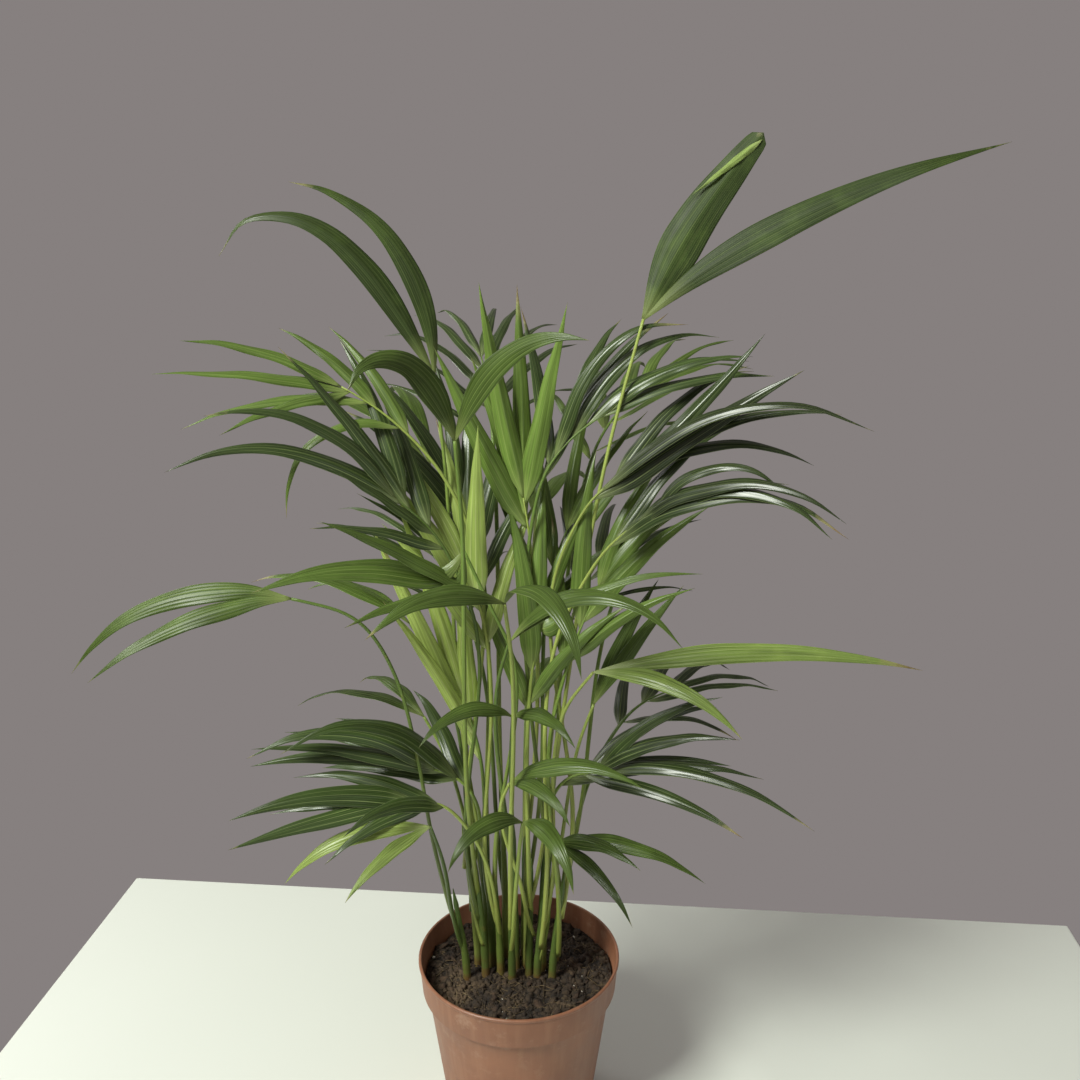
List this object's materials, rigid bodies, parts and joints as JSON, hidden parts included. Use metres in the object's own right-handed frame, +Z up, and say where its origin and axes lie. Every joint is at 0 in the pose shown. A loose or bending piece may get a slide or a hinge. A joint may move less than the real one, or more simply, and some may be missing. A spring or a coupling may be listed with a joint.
{
  "type": "potted palm",
  "caption": "Nursery pot of young areca palms: a thicket of thin canes in dark peat carrying two-lobed juvenile leaves and narrow feathered fronds.",
  "frame": {"origin": "centre of the pot's flat underside, on the surface it stands on", "axes": "+Z up along the pot's axis, -Y the side the plant is looked at from, +X to the right in that view"},
  "size_m": [0.4726, 0.3113, 0.5748],
  "materials": {
    "terracotta_plastic": "satin",
    "potting_soil": "matte",
    "cane": "satin",
    "leaf_dark": "satin",
    "leaf_mid": "satin",
    "leaf_bright": "satin"
  },
  "bodies": {
    "root": {"cane_01": "cane", "cane_02": "cane", "cane_03": "cane", "cane_04": "cane", "cane_05": "cane", "cane_06": "cane", "cane_07": "cane", "cane_08": "cane", "cane_09": "cane", "cane_10": "cane", "cane_11": "cane", "cane_12": "cane", "cane_13": "cane", "cane_14": "cane", "cane_15": "cane", "cane_16": "cane", "cane_17": "cane", "frond_arching_right": "leaf_mid", "frond_back": "leaf_dark", "frond_back_arching": "leaf_mid", "frond_back_far_right": "leaf_mid", "frond_back_left": "leaf_mid", "frond_back_low": "leaf_mid", "frond_back_low_left": "leaf_mid", "frond_back_low_right": "leaf_dark", "frond_back_right": "leaf_mid", "frond_centre": "leaf_mid", "frond_centre_back": "leaf_dark", "frond_centre_left": "leaf_bright", "frond_centre_right": "leaf_mid", "frond_crown": "leaf_mid", "frond_crown_right": "leaf_dark", "frond_front_centre": "leaf_mid", "frond_front_right": "leaf_mid", "frond_inner_back": "leaf_dark", "frond_inner_crown": "leaf_mid", "frond_inner_front": "leaf_mid", "frond_inner_left": "leaf_dark", "frond_inner_right": "leaf_mid", "frond_left_back": "leaf_mid", "frond_left_spray": "leaf_mid", "frond_long_left": "leaf_mid", "frond_low_front": "leaf_mid", "frond_low_left": "leaf_bright", "frond_low_right": "leaf_mid", "frond_lower_left": "leaf_dark", "frond_lower_left_front": "leaf_dark", "frond_lower_right": "leaf_dark", "frond_mid_left": "leaf_dark", "frond_mid_right": "leaf_dark", "frond_right": "leaf_bright", "frond_top_left": "leaf_mid", "frond_top_right": "leaf_mid", "frond_upper_front": "leaf_mid", "frond_upper_left": "leaf_mid", "frond_upper_right": "leaf_dark", "frond_upright_left": "leaf_bright", "pot": "terracotta_plastic", "soil": "potting_soil"}
  },
  "joints": []
}
